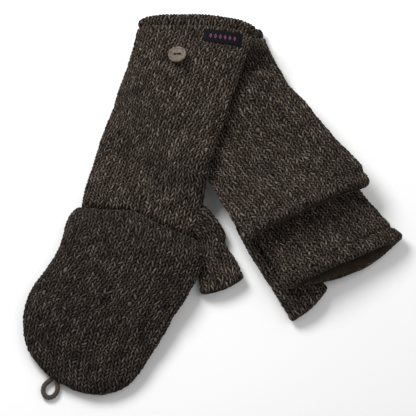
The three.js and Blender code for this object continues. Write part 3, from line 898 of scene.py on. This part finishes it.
def dress_loop(mitten):
    """A cord of three twisted strands, sewn down at both ends."""
    spec = mitten["loop"]
    (u0, v0), (hu, hv), height = spec["root"], spec["heading"], spec["low"] + 1.5
    half = [(-2.5, 1.4), (0, 2.2), (3, 4.0), (6.5, 5.0), (10, 4.1), (12, 2.1)]
    outline = [(a, -b) for a, b in half] + [(12.6, 0)] + half[::-1]
    plan = np.array([(u0 + a * hu - b * hv, v0 + a * hv + b * hu) for a, b in outline])
    path = smooth_path(to_frame(mitten, plan[:, 0], plan[:, 1], np.float64(height)), CORD_POINTS)
    path[:, 2] += 0.25 * np.sin(np.linspace(0, 9, CORD_POINTS))
    tangent = np.gradient(path, axis=0)
    tangent /= np.linalg.norm(tangent, axis=1, keepdims=True)
    side = np.cross(tangent, (0, 0, 1.0))
    up = np.cross(side, tangent)
    travel = travel_along(path)
    tubes = []
    for strand in range(3):
        angle = (travel / CORD_LAY + strand / 3) * 2 * np.pi
        offset = STRAND_OFFSET * (np.cos(angle)[:, None] * side + np.sin(angle)[:, None] * up)
        tubes.append(tube_points(path + offset, STRAND))
    loop = join_tubes(f"{mitten['side']}_loop_cord", tubes, YARN)
    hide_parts(f"{mitten['side']}_button_loop")
    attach(loop, f"{mitten['side']}_loop")


def dress_seam(mitten):
    """Whip stitches along the knuckles."""
    side = mitten["side"]
    loft = make_loft(mitten, mitten["hand"])
    middle = (loft["rows"][:, 0] + loft["rows"][:, 3]) / 2
    s = np.interp(mitten["hinge"], middle, loft["knots"])
    tubes = []
    for angle in np.arange(40, 141, 3.6):
        a = math.radians(angle)
        steps = np.linspace(-WHIP_HALF, WHIP_HALF, 7)
        slant = a + steps * 0.02
        row = np.concatenate([rows_at(loft, s + steps), (s + steps)[:, None]], 1)
        at = place(loft, row, slant[:, None], np.zeros((len(steps), 1)))
        path = crumple(mitten, at[:, 0])
        path[:, 2] += 0.35 + 0.45 * np.cos(steps / WHIP_HALF * np.pi / 2)
        tubes.append(tube_points(path, WHIP_YARN, 6))
    seam = join_tubes(f"{side}_knuckle_stitches", tubes, YARN)
    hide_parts(f"{side}_cap_seam")
    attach(seam, f"{side}_hand")


LEFT["cap_wool"] = WOOL
# The right cap takes the darkened copy of the wool, as painted shade.
RIGHT["cap_wool"] = SHADED_CAP_WOOL
for mitten in (LEFT, RIGHT):
    dress_hand(mitten)
    dress_thumb(mitten)
    dress_cap(mitten)
    dress_loop(mitten)
    dress_seam(mitten)


# ---- Buttons ----
BUTTON_RADIUS = 6.5
BUTTON_THICK = 2.6
BUTTON_TILT = math.radians(20)
BUTTON_LEAN = (-0.34, 0.94)  # where its face looks, in plan
HOLE_RADIUS = 0.95
HOLE_APART = 1.55  # each hole's distance from the middle, along the row of holes
HOLE_ASIDE = 0.5  # and the row's distance from it
THREAD_TURNS = 5
THREAD_RADIUS = 0.2
SHANK_THREAD = 0.26
SHANK_RADIUS = 1.25
SHANK_TURNS = 9


def button_section():
    """The turned profile from the middle of the back to the middle of the face, which is dished."""
    r, t = BUTTON_RADIUS, BUTTON_THICK
    rim = [(r - 0.5 + 0.5 * math.cos(a), t - 0.5 + 0.5 * math.sin(a)) for a in np.linspace(0, np.pi / 2, 5)]
    lip = [(r - 1.0, t - 0.02), (r - 1.3, t - 0.35), (r - 1.6, t - 0.75), (r - 2.2, t - 0.95)]
    return [(0, 0), (r * 0.6, 0), (r - 0.9, 0.25), (r - 0.25, 0.9), (r, 1.4), *rim, *lip, (0, t - 1.0)]


def turned(section, steps=64):
    """A closed solid turned about z from a section of (radius, height), as vertices and faces."""
    inner = section[1:-1]
    angle = 2 * np.pi * np.arange(steps) / steps
    rings = [[(r * math.cos(a), r * math.sin(a), z) for a in angle] for r, z in inner]
    verts = [(0, 0, section[0][1]), (0, 0, section[-1][1]), *(point for ring in rings for point in ring)]
    faces = []
    for i in range(steps):
        j = (i + 1) % steps
        faces.append((0, 2 + j, 2 + i))
        faces.append((1, 2 + (len(inner) - 1) * steps + i, 2 + (len(inner) - 1) * steps + j))
        for k in range(len(inner) - 1):
            low, high = 2 + k * steps, 2 + (k + 1) * steps
            faces.append((low + i, low + j, high + j, high + i))
    return verts, faces


def plain_object(name, verts, faces, surface):
    mesh = bpy.data.meshes.new(name)
    mesh.from_pydata([tuple(v) for v in verts], [], faces)
    mesh.materials.append(surface)
    return link(name, mesh)


def tilt_matrix(mitten):
    """From a button's own millimetres to the frame: tilted about its middle."""
    low, high = (Vector(corner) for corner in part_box(f"{mitten['side']}_button"))
    centre = (low + high) / 2
    axis = Vector((-BUTTON_LEAN[1], BUTTON_LEAN[0], 0))
    turn = Matrix.Rotation(BUTTON_TILT, 4, axis)
    down = Matrix.Translation((0, 0, -BUTTON_THICK / 2))
    return Matrix.Translation(centre) @ turn @ Matrix.Scale(MM, 4) @ down


def dress_button(mitten):
    side = mitten["side"]
    to_place = tilt_matrix(mitten)
    button = plain_object(f"{side}_coconut_button", *turned(button_section()), COCONUT)
    button.data.shade_smooth()
    drills = []
    for x in (-HOLE_APART, HOLE_APART):
        section = [(0, -1), (HOLE_RADIUS, -1), (HOLE_RADIUS, 5), (0, 5)]
        hole = plain_object(f"{side}_drill", *turned(section, 24), COCONUT)
        hole.data.transform(Matrix.Translation((x, HOLE_ASIDE, 0)))
        cut = button.modifiers.new("hole", "BOOLEAN")
        cut.object = hole
        cut.solver = "EXACT"
        drills.append(hole)
    bpy.context.view_layer.update()
    cut_mesh = bpy.data.meshes.new_from_object(button.evaluated_get(bpy.context.evaluated_depsgraph_get()))
    button.modifiers.clear()
    button.data = cut_mesh
    for hole in drills:
        bpy.data.objects.remove(hole)
    button.data.transform(to_place)
    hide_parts(f"{side}_button")
    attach(button, f"{side}_button")
    dress_thread(mitten, to_place)


def dress_thread(mitten, to_place):
    """Turns of thread up one hole, across and down the other, and the wound shank below."""
    side = mitten["side"]
    tubes = []
    for k in range(THREAD_TURNS):
        aside = HOLE_ASIDE + (k - THREAD_TURNS // 2) * 0.24
        lift = BUTTON_THICK - 0.85 + 0.12 * (k % 2)
        half = [(0.8, lift), (HOLE_APART - 0.1, lift - 0.5), (HOLE_APART, -0.4)]
        route = [(-x, aside, z) for x, z in half[::-1]] + [(x, aside, z) for x, z in half]
        tubes.append(tube_points(smooth_path(route, 24), THREAD_RADIUS, 6))
    turns = np.linspace(0, 1, 150)
    angle = turns * 2 * np.pi * SHANK_TURNS
    x, y = SHANK_RADIUS * np.cos(angle), HOLE_ASIDE + SHANK_RADIUS * np.sin(angle)
    wound = np.stack([x, y, -0.25 - 2.6 * turns], -1)
    tubes.append(tube_points(wound, SHANK_THREAD, 6))
    core = np.stack([np.zeros(9), np.full(9, HOLE_ASIDE), np.linspace(-0.1, -3.0, 9)], -1)
    tubes.append(tube_points(core + (0.001 * np.arange(9))[:, None], 1.1, 10))
    thread = join_tubes(f"{side}_sewn_thread", [t - SHIFT for t in tubes], THREAD)
    thread.data.transform(to_place @ Matrix.Scale(1 / MM, 4))
    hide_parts(f"{side}_button_thread")
    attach(thread, f"{side}_button")


for mitten in (LEFT, RIGHT):
    dress_button(mitten)


# ---- Woven label ----
LABEL = {
    "middle": (-140.7, 18.3),
    "across": (-0.206, 0.979),  # along its length, in the right mitten's plan
    "half": (13.8, 4.6),
    "thick": 0.5,
    "motifs": 6,
}


def label_material():
    """Dark satin with one row of small woven lozenges, which say nothing."""
    made, tree, shader = material("label_weave")
    uv = node(tree, "ShaderNodeUVMap", uv_map="Stitch").outputs[0]
    parts = node(tree, "ShaderNodeSeparateXYZ")
    tree.links.new(uv, parts.inputs[0])
    cells = LABEL["motifs"] + 2.0
    along = math_node(tree, "MULTIPLY", parts.outputs[0], cells)
    off_x = off_half(tree, math_node(tree, "FRACT", along))
    off_y = math_node(tree, "MULTIPLY", off_half(tree, parts.outputs[1]), 1.5)
    reach = math_node(tree, "ADD", off_x, off_y)
    ring = math_node(tree, "ABSOLUTE", math_node(tree, "SUBTRACT", reach, 0.2))
    lozenge = math_node(tree, "LESS_THAN", ring, 0.085)
    inside = math_node(tree, "LESS_THAN", off_half(tree, parts.outputs[0]), 0.5 - 1 / cells)
    pattern = math_node(tree, "MULTIPLY", lozenge, inside)
    weft, warp = wave(tree, parts.outputs[1], 190.0), wave(tree, parts.outputs[0], 520.0)
    weave = weighted(tree, (weft, 0.5), (warp, 0.3))
    cloth = ramp(tree, weave, [(0.0, (0.0012, 0.0013, 0.002)), (0.8, (0.0045, 0.005, 0.0075))])
    stitched = ramp(tree, weave, [(0.0, (0.13, 0.035, 0.1)), (0.8, (0.3, 0.09, 0.24))])
    tree.links.new(mix_colour(tree, pattern, cloth, stitched), shader.inputs["Base Color"])
    add_bump(tree, shader, math_node(tree, "ADD", weave, pattern), 0.5, 0.00015)
    shader.inputs["Roughness"].default_value = 0.6
    shader.inputs["Specular IOR Level"].default_value = 0.12
    return made


def surface_below(names, points):
    """The height of the named pieces' upper faces under frame points (..., 2), in metres."""
    height = np.full(points.shape[:-1], -1.0)
    for name in names:
        tree = BVHTree.FromObject(bpy.data.objects[name], bpy.context.evaluated_depsgraph_get())
        for index in np.ndindex(height.shape):
            hit = tree.ray_cast(Vector((*points[index], 1.0)), Vector((0, 0, -1)))[0]
            if hit is not None:
                height[index] = max(height[index], hit.z)
    return height


def smooth_cover(a, b, height):
    """A cubic surface through heights at (a, b), raised to cover nearly all of them."""
    terms = np.stack([a**i * b**j for i in range(4) for j in range(4 - i)], -1).reshape(-1, 10)
    fit = (terms @ np.linalg.lstsq(terms, height.ravel(), rcond=None)[0]).reshape(height.shape)
    return fit + np.quantile(height - fit, 0.97)


def dress_label():
    bpy.context.view_layer.update()
    half_a, half_b = LABEL["half"]
    step = 0.45
    along, over = (np.linspace(-1, 1, int(2 * half / step)) for half in (half_a, half_b))
    a, b = np.meshgrid(along, over, indexing="ij")
    (mu, mv), (au, av) = LABEL["middle"], LABEL["across"]
    u = mu + a * half_a * au + b * half_b * av
    v = mv + a * half_a * av - b * half_b * au
    plan = to_frame(RIGHT, u, v, 0 * u)
    under = surface_below(("right_hand_knit", "right_cuff_hem_roll"), (plan + SHIFT)[..., :2] * MM)
    top = smooth_cover(a, b, under) / MM - SHIFT[2] + LABEL["thick"] + 0.05
    rounding = 0.35 * np.maximum(np.abs(a) ** 16, np.abs(b) ** 12)
    upper = np.concatenate([plan[..., :2], (top - rounding)[..., None]], -1)
    lower = np.concatenate([plan[..., :2], (top - LABEL["thick"])[..., None]], -1)
    n, k = a.shape
    index = np.arange(n * k).reshape(n, k)
    quads = np.stack([index[:-1, :-1], index[1:, :-1], index[1:, 1:], index[:-1, 1:]], -1).reshape(-1, 4)
    rim = np.concatenate([index[:, 0], index[-1, 1:], index[-2::-1, -1], index[0, -2:0:-1]])
    rim2 = np.roll(rim, -1)
    walls = np.stack([rim2, rim, rim + n * k, rim2 + n * k], -1)
    faces = np.concatenate([quads, quads[:, ::-1] + n * k, walls])
    verts = np.concatenate([upper.reshape(-1, 3), lower.reshape(-1, 3)])
    coords = np.tile(np.stack([(a + 1) / 2, (b + 1) / 2], -1).reshape(-1, 2), (2, 1))
    label = new_mesh("right_woven_label", verts, faces, coords[faces], label_material())
    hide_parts("right_label")
    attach(label, "right_hand")


dress_label()


# ---- Stage ----
def make_stage():
    floor_material, _, shader = material("pale_floor")
    shader.inputs["Base Color"].default_value = (0.86, 0.86, 0.86, 1)
    shader.inputs["Roughness"].default_value = 0.9
    mesh = bpy.data.meshes.new("floor")
    far = 6.0
    mesh.from_pydata([(-far, -far, 0), (far, -far, 0), (far, far, 0), (-far, far, 0)], [], [(0, 1, 2, 3)])
    mesh.materials.append(floor_material)
    floor = link("floor", mesh)
    world = bpy.data.worlds.new("studio")
    world.use_nodes = True
    world.node_tree.nodes["Background"].inputs[0].default_value = (1, 1, 1, 1)
    world.node_tree.nodes["Background"].inputs[1].default_value = 0.4
    bpy.context.scene.world = world


def area_light(name, location, target, size, energy):
    data = bpy.data.lights.new(name, "AREA")
    data.shape = "DISK"
    data.size = size
    data.energy = energy
    light = link(name, data)
    light.location = location
    light.rotation_euler = (Vector(target) - Vector(location)).to_track_quat("-Z", "Y").to_euler()


ELEVATION = math.radians(78)
DISTANCE = 1.15
VIEW_WIDTH = 0.2995  # what the frame spans at the target
VIEW_AT = (-2.17, -1.66, 12)  # millimetres
SENSOR = 36


def make_camera():
    data = bpy.data.cameras.new("camera")
    data.sensor_width = SENSOR
    data.lens = SENSOR * DISTANCE / VIEW_WIDTH
    camera = link("camera", data)
    target = Vector((SHIFT + VIEW_AT) * MM)
    away = Vector((0, -math.cos(ELEVATION), math.sin(ELEVATION)))
    camera.location = target + away * DISTANCE
    camera.rotation_euler = (-away).to_track_quat("-Z", "Y").to_euler()
    bpy.context.scene.camera = camera


make_stage()
area_light("key", (-0.3, 0.36, 0.58), (0, 0.02, 0), size=0.34, energy=5.3)
area_light("fill", (0.5, 0.1, 1.0), (0, 0, 0), size=0.9, energy=3.0)
make_camera()
bpy.context.scene.view_settings.view_transform = "Standard"
